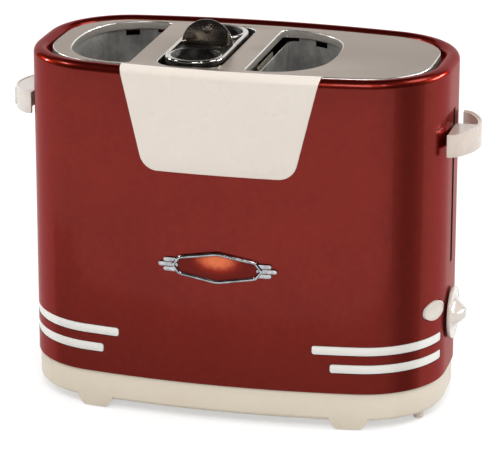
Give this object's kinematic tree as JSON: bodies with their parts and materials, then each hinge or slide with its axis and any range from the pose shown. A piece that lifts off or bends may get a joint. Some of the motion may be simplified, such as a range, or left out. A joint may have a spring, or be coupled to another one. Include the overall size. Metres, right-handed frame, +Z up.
{
  "type": "hot dog toaster",
  "caption": "Upright toaster with two D-shaped bun slots, a lift-out sausage basket, an end lever, timer knob, stop button and pull-out crumb tray.",
  "frame": {"origin": "on the floor under the centre of the shell", "axes": "+X towards the lever end, -Y towards the front plate, +Z up"},
  "size_m": [0.307, 0.1484, 0.2464],
  "materials": {
    "red_enamel": "gloss",
    "cream_enamel": "gloss",
    "black_plastic": "satin",
    "rubber": "matte",
    "steel_screws": "satin",
    "brushed_plate": "brushed",
    "chrome_trim": "polished",
    "well_steel": "satin",
    "plated_steel": "satin",
    "mica": "matte",
    "nichrome": "satin",
    "chrome_basket": "polished",
    "cream_plastic": "gloss",
    "grey_metal": "satin",
    "copper_winding": "gloss",
    "board_green": "satin"
  },
  "bodies": {
    "housing": {"badge_frame": "chrome_trim", "badge_panel": "red_enamel", "base": "cream_plastic", "base_screws": "steel_screws", "bun_well_left": "well_steel", "bun_well_right": "well_steel", "chassis_floor": "plated_steel", "chassis_wall_left": "plated_steel", "chassis_wall_right": "plated_steel", "circuit_board": "board_green", "circuit_components": "black_plastic", "cord_gland": "rubber", "foot_pads": "rubber", "front_plate": "cream_enamel", "guide_rods": "plated_steel", "handle_screws": "steel_screws", "heater_boards_left": "mica", "heater_boards_right": "mica", "heating_ribbons_left": "nichrome", "heating_ribbons_right": "nichrome", "magnet_coil": "copper_winding", "magnet_core": "grey_metal", "outer_shell": "red_enamel", "sausage_well": "well_steel", "side_handle": "cream_plastic", "stop_switch": "black_plastic", "terminal_block": "black_plastic", "timer_body": "grey_metal", "timer_bracket": "plated_steel", "top_plate": "brushed_plate", "trim_strip_left_lower": "chrome_trim", "trim_strip_left_upper": "chrome_trim", "trim_strip_right_front_lower": "chrome_trim", "trim_strip_right_front_upper": "chrome_trim", "trim_strip_right_rear_lower": "chrome_trim", "trim_strip_right_rear_upper": "chrome_trim"},
    "carriage": {"carriage_slider": "plated_steel", "lever_arm": "plated_steel", "lever": "cream_plastic", "lift_bar": "plated_steel", "bun_lift_left": "plated_steel", "bun_lift_right": "plated_steel", "basket_rest": "plated_steel", "keeper": "plated_steel", "return_spring": "steel_screws"},
    "basket": {"basket_frame": "chrome_basket", "basket_tube_front": "chrome_basket", "basket_tube_rear": "chrome_basket", "basket_tab": "chrome_basket", "tab_rivet": "chrome_basket"},
    "crumb_tray": {"crumb_tray": "plated_steel", "crumb_tray_front": "cream_plastic"},
    "timer_knob": {"timer_knob": "cream_plastic", "timer_shaft": "grey_metal"},
    "stop_button": {"stop_button": "cream_plastic"}
  },
  "joints": [
    {"name": "carriage_slide", "type": "slide", "parent": "housing", "child": "carriage", "axis": [0, 0, 1], "range_m": [-0.08, 0], "stiffness_N_per_m": 120, "springref_m": 0.05, "deforming": ["return_spring"]},
    {"name": "basket_lift", "type": "slide", "parent": "carriage", "child": "basket", "axis": [0, 0, 1], "range_m": [0, 0.12]},
    {"name": "timer_turn", "type": "hinge", "parent": "housing", "child": "timer_knob", "pos_m": [0.13, 0, 0.062], "axis": [1, 0, 0], "range_deg": [-270, 0]},
    {"name": "button_press", "type": "slide", "parent": "housing", "child": "stop_button", "axis": [-0.9239, 0.3827, 0], "range_m": [0, 0.0025], "stiffness_N_per_m": 300, "springref_m": -0.001},
    {"name": "tray_pull", "type": "slide", "parent": "housing", "child": "crumb_tray", "axis": [-1, 0, 0], "range_m": [0, 0.15]}
  ]
}
